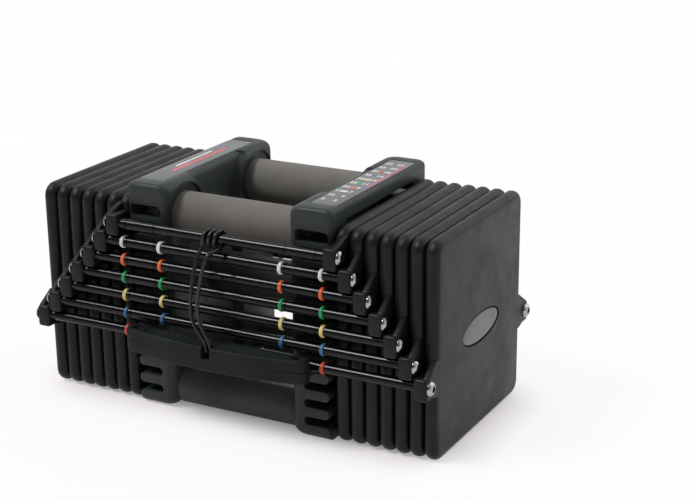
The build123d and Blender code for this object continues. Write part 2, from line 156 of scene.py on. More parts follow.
# Sleeves and lower bars
SLEEVE_SIDES = 64
SLEEVE_END = 1.0 * MM
BAR_END = 4.0 * MM
END_STEPS = 5

# Panels on the blocks and badges on the outer plates
PANEL_CORNER = 2.4 * MM
PANEL_GAP = 0.35 * MM
PANEL_SINK = 0.12 * MM
PANEL_EDGE = 0.25 * MM
PRINT_RISE = 0.05 * MM
PRINT_CORNER = 0.2
PRINT_STEPS = 3
# Place across the panel, width and length
LABEL_STRIPES = {"red": (1.2 * MM, 4.2 * MM, 78 * MM), "white": (-4.2 * MM, 1.8 * MM, 52 * MM)}
CHART_ROWS = 10
CHART_PITCH = 12 * MM
CHART_COLUMNS = (-6.6 * MM, 3.6 * MM)
# Place across and along the panel, width and length
CHART_STRIPE = (8.6 * MM, 22 * MM, 1.6 * MM, 70 * MM)
CHART_TEXT = 6.2 * MM
CHART_STROKE = 0.16 * MM
CHIP_SIZE = (5.0 * MM, 3.6 * MM)
FIRST_CHIP_ROW = 2
POUND = 0.4536
POUND_STEP = 5
BADGE_SIDES = 64
BADGE_THICKNESS = 1 * MM
BADGE_RING = 1.6 * MM
BADGE_DOME = 0.5 * MM
BADGE_GROOVE = 0.4 * MM
# Distance from the rim and share of the dome
BADGE_CROWN = ((3 * MM, 0.6), (6 * MM, 0.9))
BADGE_FLAT = 10 * MM

# Selector pin
PIN_DEPTH = 11 * MM
PIN_BOW = 9 * MM
PIN_EDGE = 2 * MM
PIN_EDGE_STEPS = 4
PIN_FRONT_STEPS = 60
PIN_BREAK = 0.35 * MM
PIN_SEAM = 0.4 * MM
PIN_CORNER = 4.5 * MM
PIN_END_TRIM = 2.2 * MM
PIN_SPLIT = 64.5 * MM
PIN_PANEL_RIM = 3.4 * MM
PIN_PANEL_LENGTH = 124 * MM
PIN_PANEL_DEPTH = 0.8 * MM
PIN_PANEL_STEPS = 24
NOTCH_WIDTH = 7.6 * MM
NOTCH_DEPTH = 9.5 * MM
NOTCH_CORNER = 0.9
DIMPLE_RADIUS = 3.4 * MM
DIMPLE_DEPTH = 1.5 * MM
DIMPLE_SIDES = 24

# Tether: the winding round the front core rail as in the part, and the two strands as they hang, in mm
CORD_DIAMETER = 3 * MM
CORD_SIDES = 14
CORD_RESOLUTION = 6
WRAP_RADIUS = 5.9 * MM
WRAP_PITCH = 4.9 * MM
WRAP_START = -11 * MM
WRAP_QUARTERS = 11
POINTS_PER_QUARTER = 4
WRAP_NUDGE = 0.01
STRAND_LEAD = 3 * MM
LEFT_STRAND = (
    (-13.0, -99.2, 141.0), (-14.4, -103.2, 130.5), (-15.2, -106.4, 117.0), (-15.6, -108.6, 103.5),
    (-13.4, -110.2, 91.3), (-7.6, -110.4, 83.0), (-2.9, -109.8, 76.8), (-2.2, -108.9, 66.5),
)
RIGHT_STRAND = (
    (-0.8, -104.8, 144.5), (-2.6, -107.2, 138.0), (-4.0, -108.6, 130.5), (-6.4, -109.3, 120.0),
    (-8.6, -109.7, 107.5), (-8.2, -110.2, 95.0), (-3.2, -110.4, 84.5), (1.4, -110.0, 76.0),
    (2.2, -108.9, 66.5),
)

# Camera, found from the photograph
CAMERA_TARGET_X = 0.0602
CAMERA_TARGET_Z = 0.1258
CAMERA_AZIMUTH = radians(28.25)
CAMERA_ELEVATION = radians(18.36)
CAMERA_ROLL = radians(-0.56)
CAMERA_DISTANCE = 1.2328
CAMERA_LENS = 82.02
SENSOR_WIDTH = 36

# Light: suns as the way towards them, their strength and their spread
KEY_SUN = ((-0.449, -0.372, 0.812), 1.9, radians(20))
BACK_SUN = ((0.5, 0.7, 0.6), 0.5, radians(50))
WORLD_FRONT = 0.14
WORLD_BACK = 0.9
WORLD_FADE = (-0.75, 0.35)
FLOOR_SPAN = 30.0
FLOOR_ROUGHNESS = 0.9
FLOOR_SCALE = 3
FLOOR_GLOW = 0.88
GLOW_REACH = 0.08
GLOW_INSET = 0.04

# Finishes: how fine their noises are, and the part of a noise's range that is spread out
NOISE_SPAN = (0.3, 0.7)
DRIFT_SCALE = 28
SHINE_SCALE = 60
MARK_SCALE = 700
MARK_DEPTH = 0.02 * MM

plate_low, plate_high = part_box("core_right_plate")
middle_y = (plate_low.y + plate_high.y) / 2
plate_top = plate_high.z
core_x = plate_low.x
block_low, block_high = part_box("right_end_block")
collar_x = block_low.x
block_top = block_high.z
scoop_x = collar_x + SCOOP_DEPTH
spine_x = collar_x + SPINE
tooth_x = core_x - TOOTH_GAP


def rail_place(group, place):
    """Y and Z of a rail's axis."""
    low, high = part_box(f"{group}_{place}_rail")
    return (low.y + high.y) / 2, (low.z + high.z) / 2


# Meshes

def turns(sides):
    """Angles all round, one per side."""
    return [2 * pi * side / sides for side in range(sides)]


def quarter_turn(steps):
    """Angles over a quarter of a circle."""
    return [step / steps * pi / 2 for step in range(steps + 1)]


def stack(rings):
    """Points and faces of a closed skin over rings of equal length."""
    size = len(rings[0])
    points = [tuple(point) for ring in rings for point in ring]
    last = len(points) - size
    faces = [tuple(range(size)), tuple(range(last, last + size))]
    for base in range(0, last, size):
        for here in range(size):
            after = (here + 1) % size
            faces.append((base + here, base + after, base + size + after, base + size + here))
    return points, faces


def turned(profile, y, z, sides):
    """Skin of a bar along X, from pairs of place and radius."""
    return stack([[(x, y + r * cos(a), z + r * sin(a)) for a in turns(sides)] for x, r in profile])


def prism(outline, low, high, axis):
    """Skin of an outline drawn across an axis and stretched along it from low to high."""
    place = {
        "X": lambda at, a, b: (at, a, b),
        "Y": lambda at, a, b: (a, at, b),
        "Z": lambda at, a, b: (a, b, at),
    }[axis]
    return stack([[place(at, a, b) for a, b in outline] for at in (low, high)])


def box_outline(low_a, high_a, low_b, high_b):
    """Outline of a rectangle with sharp corners."""
    return [(low_a, low_b), (high_a, low_b), (high_a, high_b), (low_a, high_b)]


def mirrored(skin):
    """The same skin on the left, where the right one was."""
    points, faces = skin
    return [(-x, y, z) for x, y, z in points], faces


def gathered(skins):
    """Several skins as one."""
    points, faces = [], []
    for some_points, some_faces in skins:
        base = len(points)
        points += some_points
        faces += [tuple(base + index for index in face) for face in some_faces]
    return points, faces


def make_object(name, skin):
    """An object of a skin, with its faces turned outwards."""
    points, faces = skin
    mesh = bpy.data.meshes.new(name)
    mesh.from_pydata(points, [], faces)
    work = bmesh.new()
    work.from_mesh(mesh)
    bmesh.ops.recalc_face_normals(work, faces=work.faces)
    work.to_mesh(mesh)
    work.free()
    made = bpy.data.objects.new(name, mesh)
    bpy.context.scene.collection.objects.link(made)
    return made


def settle(made):
    """Turns an object's modifiers into its mesh."""
    graph = bpy.context.evaluated_depsgraph_get()
    mesh = bpy.data.meshes.new_from_object(made.evaluated_get(graph))
    made.modifiers.clear()
    made.data = mesh


def combine(made, skin, operation):
    """Joins a skin to an object, or cuts it away."""
    tool = make_object("tool", skin)
    change = made.modifiers.new("change", "BOOLEAN")
    change.operation = operation
    change.object = tool
    change.solver = "EXACT"
    settle(made)
    bpy.data.objects.remove(tool)


def soften(made, width, segments=3, angle=35):
    """Rounds the edges that turn by more than an angle."""
    bevel = made.modifiers.new("bevel", "BEVEL")
    bevel.width = width
    bevel.segments = segments
    bevel.limit_method = "ANGLE"
    bevel.angle_limit = radians(angle)
    settle(made)


def softened(skin, width, segments=4):
    """A skin with its edges rounded."""
    made = make_object("tool", skin)
    soften(made, width, segments)
    points = [tuple(vertex.co) for vertex in made.data.vertices]
    faces = [tuple(face.vertices) for face in made.data.polygons]
    bpy.data.objects.remove(made)
    return points, faces


def dress(made, finish, nodes, body="dumbbell", smooth=42):
    """Shades an object, gives it its finish and hangs it on its body in place of CAD nodes."""
    made.data.shade_smooth()
    made.data.set_sharp_from_angle(angle=radians(smooth))
    made.data.materials.clear()
    made.data.materials.append(finish)
    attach(made, body)
    if nodes:
        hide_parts(*nodes)
    return made


# Finishes

def tone(red, green, blue):
    """Linear colour from screen values out of 255."""
    def linear(value):
        share = value / 255
        return share / 12.92 if share <= 0.04045 else ((share + 0.055) / 1.055) ** 2.4
    return linear(red), linear(green), linear(blue), 1.0


class Finish:
    """A node material, with short calls for its nodes and links."""

    def __init__(self, name):
        self.material = bpy.data.materials.new(name)
        self.material.use_nodes = True
        self.tree = self.material.node_tree
        self.shader = self.tree.nodes["Principled BSDF"]
        self.place = self.node("ShaderNodeTexCoord").outputs["Object"]

    def node(self, kind, **settings):
        made = self.tree.nodes.new(kind)
        for key, value in settings.items():
            setattr(made, key, value)
        return made

    def link(self, source, target):
        self.tree.links.new(source, target)

    def noise(self, scale, detail=3, stretch=None):
        texture = self.node("ShaderNodeTexNoise")
        texture.inputs["Scale"].default_value = scale
        texture.inputs["Detail"].default_value = detail
        place = self.place
        if stretch:
            mapping = self.node("ShaderNodeMapping")
            mapping.inputs["Scale"].default_value = stretch
            self.link(place, mapping.inputs["Vector"])
            place = mapping.outputs["Vector"]
        self.link(place, texture.inputs["Vector"])
        return texture.outputs["Fac"]

    def between(self, source, low, high):
        """A value spread from low to high over the middle of a noise."""
        spread = self.node("ShaderNodeMapRange")
        spread.inputs["From Min"].default_value = NOISE_SPAN[0]
        spread.inputs["From Max"].default_value = NOISE_SPAN[1]
        spread.inputs["To Min"].default_value = low
        spread.inputs["To Max"].default_value = high
        self.link(source, spread.inputs["Value"])
        return spread.outputs["Result"]

    def colours(self, source, dark, light):
        mix = self.node("ShaderNodeMix", data_type="RGBA")
        self.link(self.between(source, 0, 1), mix.inputs["Factor"])
        mix.inputs[6].default_value = dark
        mix.inputs[7].default_value = light
        self.link(mix.outputs[2], self.shader.inputs["Base Color"])

    def roughness(self, source, low, high):
        self.link(self.between(source, low, high), self.shader.inputs["Roughness"])

    def relief(self, source, height, strength=1.0):
        bump = self.node("ShaderNodeBump")
        bump.inputs["Distance"].default_value = height
        bump.inputs["Strength"].default_value = strength
        self.link(source, bump.inputs["Height"])
        self.link(bump.outputs["Normal"], self.shader.inputs["Normal"])

    def set(self, **values):
        for name, value in values.items():
            self.shader.inputs[name.replace("_", " ")].default_value = value
        return self


def moulded(name, dark, light, rough, grain=900, height=0.05 * MM, **values):
    """A plastic, paint or rubber: fine grain in relief, a slow drift of colour and of shine."""
    finish = Finish(name)
    finish.colours(finish.noise(DRIFT_SCALE, detail=4), tone(*dark), tone(*light))
    finish.roughness(finish.noise(SHINE_SCALE, detail=3), *rough)
    finish.relief(finish.noise(grain, detail=2), height)
    finish.set(**values)
    return finish.material


def metal(name, dark, light, rough, stretch):
    """Bare metal with marks drawn out along one way."""
    finish = Finish(name)
    marks = finish.noise(MARK_SCALE, stretch=stretch)
    finish.colours(marks, tone(*dark), tone(*light))
    finish.roughness(marks, *rough)
    finish.relief(marks, MARK_DEPTH)
    finish.set(Metallic=1.0)
    return finish.material


PLATE_FINISH = moulded(
    "plate_coating", (16, 21, 19), (24, 29, 27), (0.38, 0.5), 1400, 0.04 * MM, Specular_IOR_Level=0.22,
)
RAIL_FINISH = moulded(
    "rail_gloss", (7, 9, 9), (12, 14, 14), (0.14, 0.2), 1200, 0.001 * MM, Specular_IOR_Level=0.24,
)
BLOCK_FINISH = moulded(
    "block_plastic", (44, 51, 48), (53, 60, 57), (0.38, 0.5), 1500, 0.04 * MM, Specular_IOR_Level=0.22,
)
PIN_FINISH = moulded(
    "pin_plastic", (26, 31, 29), (36, 41, 39), (0.5, 0.62), 1800, 0.05 * MM, Specular_IOR_Level=0.12,
)
BAR_FINISH = moulded(
    "bar_rubber", (63, 71, 66), (80, 88, 82), (0.5, 0.64), 1300, 0.06 * MM, Specular_IOR_Level=0.15,
)
PANEL_FINISH = moulded("panel_film", (98, 100, 103), (110, 112, 115), (0.42, 0.5), 2200, 0.02 * MM)
BADGE_FINISH = moulded("badge_film", (84, 87, 86), (97, 100, 98), (0.34, 0.42), 2000, 0.02 * MM)
FOAM_FINISH = moulded("sleeve_foam", (98, 95, 90), (112, 109, 103), (0.78, 0.9), 1100, 0.18 * MM)
GRIP_FINISH = moulded("grip_rubber", (44, 46, 46), (56, 58, 58), (0.6, 0.75), 900, 0.15 * MM)
CORD_FINISH = moulded(
    "tether_cord", (10, 12, 12), (18, 20, 20), (0.24, 0.36), 1600, 0.06 * MM, Specular_IOR_Level=0.5,
)
SCREW_FINISH = metal("screw_steel", (150, 150, 148), (184, 184, 182), (0.1, 0.2), (1, 1, 1))
# Painted shade: a near-black finish laid inside the screws' hex sockets and on the floor of the badges'
# grooves, where there is only shade
RECESS_SHADE_FINISH = moulded(
    "painted_recess_shade", (14, 15, 14), (22, 23, 22), (0.5, 0.64), 1500, 0.03 * MM, Specular_IOR_Level=0.04,
)
STEEL_FINISH = metal("prong_steel", (150, 150, 148), (178, 178, 176), (0.26, 0.4), (1, 0.06, 1))
PRINT_WHITE = moulded("print_white", (214, 212, 210), (228, 226, 224), (0.4, 0.5), 2200, 0.01 * MM)
PRINT_RED = moulded("print_red", (186, 84, 92), (200, 98, 106), (0.4, 0.5), 2200, 0.01 * MM)
BAND_TONES = {
    "white": ((206, 206, 202), (232, 231, 227)),
    "orange": ((206, 84, 44), (228, 104, 60)),
    "green": ((0, 130, 68), (12, 152, 84)),
    "yellow": ((208, 186, 116), (226, 207, 140)),
    "blue": ((44, 88, 130), (63, 109, 152)),
    "red": ((178, 54, 32), (200, 71, 45)),
}
BAND_FINISHES = {
    colour: moulded(f"band_{colour}", dark, light, (0.34, 0.46), 1500, 0.03 * MM)
    for colour, (dark, light) in BAND_TONES.items()
}


# Pieces

def rounded_rectangle(half_a, half_b, radius, steps=8):
    """Outline of a rectangle round the origin with round corners."""
    outline = []
    for quarter, (side_a, side_b) in enumerate(((1, 1), (-1, 1), (-1, -1), (1, -1))):
        for step in range(steps + 1):
            turn = (quarter + step / steps) * pi / 2
            a = side_a * (half_a - radius) + radius * cos(turn)
            b = side_b * (half_b - radius) + radius * sin(turn)
            outline.append((a, b))
    return outline


def slab(low_x, high_x):
    """A plate without its ears."""
    def ring(x, inset):
        outline = rounded_rectangle(PLATE_DEPTH / 2 - inset, plate_top / 2 - inset, PLATE_CORNER - inset)
        return [(x, middle_y + a, plate_top / 2 + b) for a, b in outline]

    edge = [(PLATE_EDGE * (1 - cos(a)), PLATE_EDGE * (1 - sin(a))) for a in quarter_turn(EDGE_STEPS)]
    rings = [ring(low_x + along, inset) for along, inset in edge]
    rings += [ring(high_x - along, inset) for along, inset in reversed(edge)]
    return stack(rings)


def ear_block(place, tip_y, z):
    """An ear's block from the side, round the rail's end, with its foot drawn down to the plate."""
    side = PLACES[place]
    edge = middle_y + side * PLATE_DEPTH / 2
    root = edge - side * EAR_ROOT
    heel = tip_y - side * EAR_HEEL
    foot = z - EAR_BOTTOM - EAR_UNDERCUT
    top = z + EAR_TOP_WALL
    bottom = z - EAR_BOTTOM
    return [(root, foot), (edge, foot), (heel, bottom), (tip_y, bottom), (tip_y, top), (root, top)]


def ear_web(place, tip_y, z):
    """The thin web above an ear's block, sloped from its front up to the plate's edge."""
    side = PLACES[place]
    edge = middle_y + side * PLATE_DEPTH / 2
    root = edge - side * EAR_ROOT
    front = tip_y - side * EAR_EDGE
    top = min(z + EAR_WEB_RISE, plate_top - PLATE_EDGE)
    return [(root, z), (front, z), (front, z + EAR_TOP_WALL), (edge, top), (root, top)]


def badge_pocket(side):
    """The oval hollow that a badge sits in."""
    low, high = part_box("oval_badges")
    half_y, half_z = (high.y - low.y) / 2, (high.z - low.z) / 2
    middle_z = (low.z + high.z) / 2
    oval = [(middle_y + half_y * cos(a), middle_z + half_z * sin(a)) for a in turns(BADGE_SIDES)]
    return prism(oval, side * (high.x - BADGE_THICKNESS), side * (high.x + OVERRUN), "X")


def make_plate(group, side_name):
    """A plate: a slab with round edges, and an ear in front and behind."""
    node = f"{group}_{side_name}_plate"
    low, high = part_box(node)
    made = make_object(node + "_look", slab(low.x, high.x))
    inner, outer = low.x + EAR_INSET, high.x - EAR_INSET
    web_low = outer - EAR_WEB_THICKNESS if SIDES[side_name] > 0 else inner
    for place, tip_y in (("front", low.y), ("rear", high.y)):
        z = rail_place(group, place)[1]
        web = prism(ear_web(place, tip_y, z), web_low, web_low + EAR_WEB_THICKNESS, "X")
        combine(made, softened(web, EAR_WEB_EDGE), "UNION")
        block = prism(ear_block(place, tip_y, z), inner, outer, "X")
        combine(made, softened(block, EAR_EDGE), "UNION")
    if group == GROUPS[-1]:
        combine(made, badge_pocket(SIDES[side_name]), "DIFFERENCE")
    dress(made, PLATE_FINISH, [node], smooth=50)


def groove(start, radius):
    """A groove round a rail, as pairs of place and radius from its near edge on."""
    end = start + GROOVE_WIDTH
    floor = radius - GROOVE_DEPTH
    return [(start, radius), (start + GROOVE_FLANK, floor), (end - GROOVE_FLANK, floor), (end, radius)]


def make_rail(group, place):
    """A rail with a raised spacer over each comb, grooved beside the bands."""
    node = f"{group}_{place}_rail"
    low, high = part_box(node)
    y, z = rail_place(group, place)
    radius = (high.z - low.z) / 2
    thick = radius + SPACER_RISE
    inner = collar_x + BAND_WIDTH / 2 + SPACER_GAP
    outer = core_x - OUTER_BAND_INSET - BAND_WIDTH / 2 - SPACER_GAP
    half = [(inner, radius), (inner, thick)]
    half += groove(inner + GROOVE_INSET, thick)
    half += groove(outer - GROOVE_INSET - GROOVE_WIDTH, thick)
    half += [(outer, thick), (outer, radius), (high.x, radius)]
    profile = [(-x, r) for x, r in reversed(half)] + half
    made = make_object(node + "_look", turned(profile, y, z, RAIL_SIDES))
    dress(made, RAIL_FINISH, [node], smooth=40)


def band_skin(x, y, z):
    """A colour ring with a round outside."""
    profile = [(x - BAND_WIDTH / 2, BAND_BORE)]
    for step in range(BAND_STEPS + 1):
        turn = pi * step / BAND_STEPS
        rise = BAND_RISE * (BAND_SHOULDER + (1 - BAND_SHOULDER) * sin(turn))
        profile.append((x - cos(turn) * BAND_WIDTH / 2, BAND_BORE + rise))
    profile.append((x + BAND_WIDTH / 2, BAND_BORE))
    return turned(profile, y, z, RAIL_SIDES)


def make_bands(colour):
    """The eight bands of a set."""
    group = f"{colour}_set"
    skins = []
    for place in PLACES:
        y, z = rail_place(group, place)
        for x in (collar_x, core_x - OUTER_BAND_INSET):
            skins += [band_skin(side * x, y, z) for side in SIDES.values()]
    made = make_object(f"{group}_bands_look", gathered(skins))
    dress(made, BAND_FINISHES[colour], [f"{group}_bands"], smooth=60)


def screw_skin(face_x, y, z):
    """A button-head screw with a hex socket, on the right."""
    rings = []
    for x, r in SCREW_CROWN:
        circle = [(cos(a), sin(a)) for a in turns(SCREW_SIDES)]
        rings.append([(face_x + x * MM, y + r * MM * a, z + r * MM * b) for a, b in circle])
    top = face_x + HEAD_HEIGHT
    for depth, share in ((0, 1), (SOCKET_DEPTH, 1), (SOCKET_DEPTH + SOCKET_CONE, SOCKET_CONE_SHARE)):
        rings.append(socket_ring(top - depth, y, z, share))
    return stack(rings)


def socket_ring(x, y, z, share):
    """A hexagon across X, at a share of the socket's size."""
    ring = []
    for a in turns(SCREW_SIDES):
        flat = (a + pi / 6) % (pi / 3) - pi / 6
        reach = share * SOCKET_APOTHEM / cos(flat)
        ring.append((x, y + reach * cos(a), z + reach * sin(a)))
    return ring


def make_screws():
    """All rail screws, and a dark sheet of painted shade inside each of their hex sockets."""
    skins, shade_sheets = [], []
    for group in GROUPS:
        face_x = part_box(f"{group}_right_plate")[1].x
        top = face_x + HEAD_HEIGHT
        for place in PLACES:
            y, z = rail_place(group, place)
            skin = screw_skin(face_x, y, z)
            skins += [skin, mirrored(skin)]
            # A dark sheet of painted shade round the inside of each socket, from just under its rim to its
            # bottom
            depths = (SOCKET_DEPTH, SOCKET_RIM)
            floor = stack([socket_ring(top - depth, y, z, SOCKET_SHADE_SHARE) for depth in depths])
            shade_sheets += [floor, mirrored(floor)]
    made = make_object("rail_screws_look", gathered(skins))
    dress(made, SCREW_FINISH, ["rail_screws"], smooth=38)
    # The painted shade in the sockets, as one object
    hex_shade = make_object("rail_screw_hex_shade_look", gathered(shade_sheets))
    dress(hex_shade, RECESS_SHADE_FINISH, ["rail_screws"])


def rounding(distance, radius):
    """How far a round edge draws in, at a distance short of the flat."""
    if distance >= radius:
        return 0.0
    return radius - sqrt(max(0.0, radius**2 - (radius - max(distance, 0.0)) ** 2))


def block_ring(z):
    """The right end block at a height, before its scoop: round corners, drawn in at foot and rim."""
    below_top = block_top - z
    inner = collar_x + rounding(below_top, BLOCK_INNER_RIM) + rounding(z, BLOCK_FOOT)
    outer = core_x - rounding(below_top, BLOCK_OUTER_RIM)
    side = BLOCK_DEPTH / 2 - rounding(below_top, BLOCK_SIDE_RIM) - rounding(z, BLOCK_FOOT_SIDE)
    corners = ((outer, 1, BLOCK_OUTER_CORNER), (inner, 1, BLOCK_INNER_CORNER))
    corners += ((inner, -1, BLOCK_INNER_CORNER), (outer, -1, BLOCK_OUTER_CORNER))
    ring = []
    for quarter, (x, way, radius) in enumerate(corners):
        centre_x = x - radius if x == outer else x + radius
        centre_y = middle_y + way * (side - radius)
        for step in range(BLOCK_CORNER_STEPS + 1):
            turn = (quarter + step / BLOCK_CORNER_STEPS) * pi / 2
            ring.append((centre_x + radius * cos(turn), centre_y + radius * sin(turn), z))
    return ring


def scoop_ring(z):
    """What the hand's scoop takes from the block at a height, between the round collars."""
    low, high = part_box("upper_rear_sleeve")
    tube_y, tube_z = (low.y + high.y) / 2 - middle_y, (low.z + high.z) / 2
    radius = (high.z - low.z) / 2 + COLLAR_WALL
    rise = min(max(z - tube_z, 0.0), radius * sin(SCOOP_SWEEP))
    half = tube_y - sqrt(radius**2 - rise**2)
    deep = scoop_x + rounding(block_top - z, SCOOP_RIM)
    before = collar_x - SCOOP_DEPTH
    ring = []
    for x, way in ((before, 1), (before, -1), (deep, -1), (deep, 1)):
        ring.append((x, middle_y + way * (half - (x - collar_x) * tan(SCOOP_TAPER)), z))
    return ring


def slot_outline(z):
    """A prong's slot as (x, z): round where it ends, flared between the round tips of the teeth."""
    radius = SLOT_HEIGHT / 2
    arc = [pi / 2 + step / SLOT_STEPS * pi for step in range(SLOT_STEPS + 1)]
    outline = [(spine_x + radius + radius * cos(a), z + radius * sin(a)) for a in arc]
    tip = []
    for turn in quarter_turn(TOOTH_STEPS):
        tip.append((tooth_x - TOOTH_ROUND * (1 - sin(turn)), radius + TOOTH_ROUND * (1 - cos(turn))))
    tip.append((core_x + radius, radius + TOOTH_ROUND))
    return outline + [(x, z - rise) for x, rise in tip] + [(x, z + rise) for x, rise in reversed(tip)]


def closed_outline(low_x, high_x, low_z, high_z, corner):
    """An opening as (x, z) that is closed all round."""
    outline = rounded_rectangle((high_x - low_x) / 2, (high_z - low_z) / 2, corner)
    return [((low_x + high_x) / 2 + a, (low_z + high_z) / 2 + b) for a, b in outline]


def panel_outline(node, grow):
    """Outline of a panel seen from above, with round corners."""
    low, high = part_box(node)
    middle_x = (low.x + high.x) / 2
    half_x, half_y = (high.x - low.x) / 2 + grow, (high.y - low.y) / 2 + grow
    outline = rounded_rectangle(half_x, half_y, PANEL_CORNER + grow)
    return [(middle_x + a, middle_y + b) for a, b in outline]


def end_block(name):
    """The right end block: a rounded body, less its scoop, collars, hollow, slots and panel pocket."""
    heights = [BLOCK_FOOT * (1 - cos(turn)) for turn in quarter_turn(BLOCK_FOOT_STEPS)]
    heights += [block_top - BLOCK_INNER_RIM * (1 - sin(turn)) for turn in quarter_turn(BLOCK_RIM_STEPS)]
    made = make_object(name, stack([block_ring(z) for z in heights]))
    beyond = core_x + OVERRUN
    under = -OVERRUN
    leg_y = BLOCK_DEPTH / 2 - LEG_DEPTH
    wide = BLOCK_DEPTH / 2 + OVERRUN
    sleeve_low, sleeve_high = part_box("upper_rear_sleeve")
    sleeve_z = (sleeve_low.z + sleeve_high.z) / 2
    lip_radius = (sleeve_high.z - sleeve_low.z) / 2 + COLLAR_WALL - COLLAR_LIP
    rise = block_top - sleeve_z
    levels = [under] + [sleeve_z + rise * step / SCOOP_STEPS for step in range(SCOOP_STEPS + 1)]
    levels.append(block_top + OVERRUN)
    combine(made, stack([scoop_ring(z) for z in levels]), "DIFFERENCE")
    for place in PLACES:
        low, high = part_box(f"upper_{place}_sleeve")
        recess = [(collar_x - OVERRUN, lip_radius), (collar_x + COLLAR_RECESS, lip_radius)]
        combine(made, turned(recess, (low.y + high.y) / 2, sleeve_z, SLEEVE_SIDES), "DIFFERENCE")
    hollow = box_outline(spine_x, beyond, middle_y - leg_y, middle_y + leg_y)
    combine(made, prism(hollow, under, block_top - ROOF, "Z"), "DIFFERENCE")
    gap = box_outline(tooth_x, beyond, middle_y - wide, middle_y + wide)
    combine(made, prism(gap, under, CAP_BOTTOM, "Z"), "DIFFERENCE")
    slots = [slot_outline(LOWEST_SLOT + step * SLOT_PITCH) for step in range(OPEN_SLOTS)]
    level = LOWEST_SLOT + OPEN_SLOTS * SLOT_PITCH
    radius = SLOT_HEIGHT / 2
    slots.append(closed_outline(spine_x, tooth_x, level - radius, level + radius, TOP_SLOT_CORNER * radius))
    for outline in slots:
        combine(made, prism(outline, middle_y - wide, middle_y + wide, "Y"), "DIFFERENCE")
    mouth_low, mouth_high = collar_x + MOUTH_INNER, core_x - MOUTH_OUTER
    mouth = closed_outline(mouth_low, mouth_high, level - radius, level + MOUTH_RISE, MOUTH_CORNER)
    for way in PLACES.values():
        floor = middle_y + way * (BLOCK_DEPTH / 2 - MOUTH_DEPTH)
        combine(made, prism(mouth, floor, middle_y + way * wide, "Y"), "DIFFERENCE")
    panel_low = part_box("weight_chart_panel")[0].z
    pocket = panel_outline("weight_chart_panel", PANEL_GAP)
    combine(made, prism(pocket, panel_low, block_top + OVERRUN, "Z"), "DIFFERENCE")
    soften(made, BLOCK_EDGE, segments=2, angle=50)
    return made


def make_blocks():
    """Both end blocks, the left one as a mirror image."""
    right = end_block("right_end_block_look")
    points = [tuple(v.co) for v in right.data.vertices]
    faces = [tuple(f.vertices) for f in right.data.polygons]
    left = make_object("left_end_block_look", mirrored((points, faces)))
    dress(right, BLOCK_FINISH, ["right_end_block"])
    dress(left, BLOCK_FINISH, ["left_end_block"])


def make_panel(node):
    """A printed film let into the top of a block."""
    low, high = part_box(node)
    made = make_object(node + "_look", prism(panel_outline(node, 0), low.z, high.z - PANEL_SINK, "Z"))
    soften(made, PANEL_EDGE, segments=2)
    dress(made, PANEL_FINISH, [node])


def print_patch(name, middle_x, middle_place, size, finish):
    """A flat patch of print on a panel."""
    top = block_top - PANEL_SINK
    outline = rounded_rectangle(size[0] / 2, size[1] / 2, min(size) * PRINT_CORNER, PRINT_STEPS)
    outline = [(middle_x + a, middle_y + middle_place + b) for a, b in outline]
    dress(make_object(name, prism(outline, top, top + PRINT_RISE, "Z")), finish, [])


def print_number(name, text, x, y, finish):
    """A plain number printed on a panel."""
    curve = bpy.data.curves.new(name, "FONT")
    curve.body = text
    curve.size = CHART_TEXT
    curve.align_x = "CENTER"
    curve.align_y = "CENTER"
    curve.extrude = PRINT_RISE
    curve.offset = CHART_STROKE
    curve.resolution_u = 2
    drawn = bpy.data.objects.new(name, curve)
    bpy.context.scene.collection.objects.link(drawn)
    bpy.context.view_layer.update()
    mesh = bpy.data.meshes.new_from_object(drawn)
    bpy.data.objects.remove(drawn)
    mesh.transform(Matrix.Translation((x, middle_y + y, block_top - PANEL_SINK)))
    made = bpy.data.objects.new(name, mesh)
    bpy.context.scene.collection.objects.link(made)
    dress(made, finish, [])


def make_chart():
    """The weight chart: two columns of plain numbers and the sets' colours between them."""
    low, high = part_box("weight_chart_panel")
    middle_x = (low.x + high.x) / 2
    for row in range(CHART_ROWS):
        y = (row - (CHART_ROWS - 1) / 2) * CHART_PITCH
        pounds = POUND_STEP * (row + 1)
        values = (str(pounds), str(round(pounds * POUND)))
        for column, text in zip(CHART_COLUMNS, values):
            print_number(f"chart_number_{row}_{text}", text, middle_x + column, y, PRINT_WHITE)
        chip = row - FIRST_CHIP_ROW
        if 0 <= chip < len(COLOURS):
            x = middle_x + sum(CHART_COLUMNS) / 2
            colour = COLOURS[chip]
            print_patch(f"chart_chip_{colour}", x, y, CHIP_SIZE, BAND_FINISHES[colour])
    x, y, width, length = CHART_STRIPE
    print_patch("chart_stripe_red", middle_x + x, y, (width, length), PRINT_RED)


def make_label():
    """The label on the left block: plain stripes."""
    low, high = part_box("label_panel")
    middle_x = (low.x + high.x) / 2
    for colour, finish in (("red", PRINT_RED), ("white", PRINT_WHITE)):
        x, width, length = LABEL_STRIPES[colour]
        print_patch(f"label_stripe_{colour}", middle_x + x, 0, (width, length), finish)


